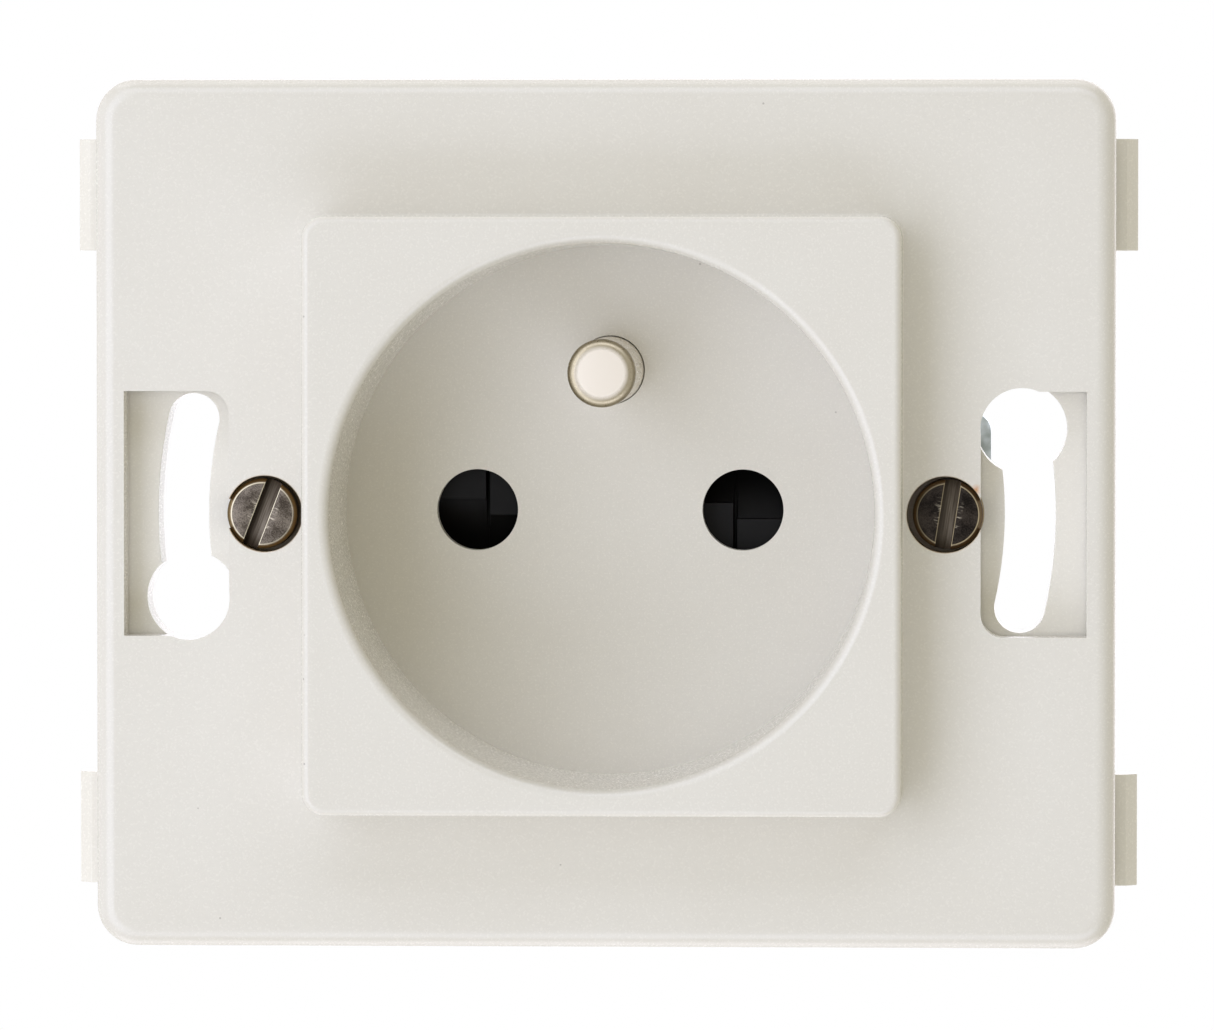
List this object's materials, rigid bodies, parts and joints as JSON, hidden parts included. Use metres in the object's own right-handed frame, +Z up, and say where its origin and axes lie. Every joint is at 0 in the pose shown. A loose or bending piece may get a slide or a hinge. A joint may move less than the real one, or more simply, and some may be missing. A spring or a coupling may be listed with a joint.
{
  "type": "modular socket",
  "caption": "Flush-mounting modular power socket: cover plate with a square raised boss, round plug recess, fixed earth pin, shuttered pin holes, keyhole slots and spreading claws.",
  "frame": {"origin": "centre of the plug recess, in the plane of the wall surface that the support frame's back rests on", "axes": "-Y out of the wall towards the room (the front faces -Y), +Z up, +X to the right seen from the front"},
  "size_m": [0.0752, 0.0379, 0.0612],
  "materials": {
    "ivory_plastic": "fine matte thermoset moulding",
    "black_plastic": "matte black thermoset moulding",
    "shutter_plastic": "smooth black moulding",
    "nickel": "nickel-plated turned brass",
    "contact_brass": "stamped and folded spring brass",
    "zinc_steel": "bright zinc-plated steel",
    "dark_zinc_steel": "dulled zinc-plated steel",
    "spring_steel": "drawn spring wire"
  },
  "bodies": {
    "socket_body": {"front_cover": "ivory_plastic", "support_frame": "ivory_plastic", "rear_housing": "black_plastic", "shutter_carrier": "black_plastic", "shutter_spring": "spring_steel", "earth_pin": "nickel", "earth_strap": "contact_brass", "live_contact": "contact_brass", "neutral_contact": "contact_brass", "live_terminal_cage": "zinc_steel", "neutral_terminal_cage": "zinc_steel", "earth_terminal_cage": "zinc_steel", "live_terminal_screw": "zinc_steel", "neutral_terminal_screw": "zinc_steel", "earth_terminal_screw": "zinc_steel", "left_claw_screw": "dark_zinc_steel", "right_claw_screw": "dark_zinc_steel", "upper_housing_screw": "zinc_steel", "lower_housing_screw": "zinc_steel"},
    "shutter_disc": {"shutter": "shutter_plastic"},
    "left_claw_arm": {"left_claw": "zinc_steel"},
    "right_claw_arm": {"right_claw": "zinc_steel"}
  },
  "joints": [
    {"name": "shutter_turn", "type": "hinge", "parent": "socket_body", "child": "shutter_disc", "pos_m": [0, 0, 0], "axis": [0, 1, 0], "range_deg": [0, 38], "stiffness_Nm_per_rad": 0.004, "springref_deg": -20.05, "deforming": ["shutter_spring"]},
    {"name": "left_claw_spread", "type": "hinge", "parent": "socket_body", "child": "left_claw_arm", "pos_m": [-0.0195, 0.0072, 0], "axis": [0, 0, 1], "range_deg": [0, 20]},
    {"name": "right_claw_spread", "type": "hinge", "parent": "socket_body", "child": "right_claw_arm", "pos_m": [0.0195, 0.0072, 0], "axis": [0, 0, -1], "range_deg": [0, 20]}
  ]
}
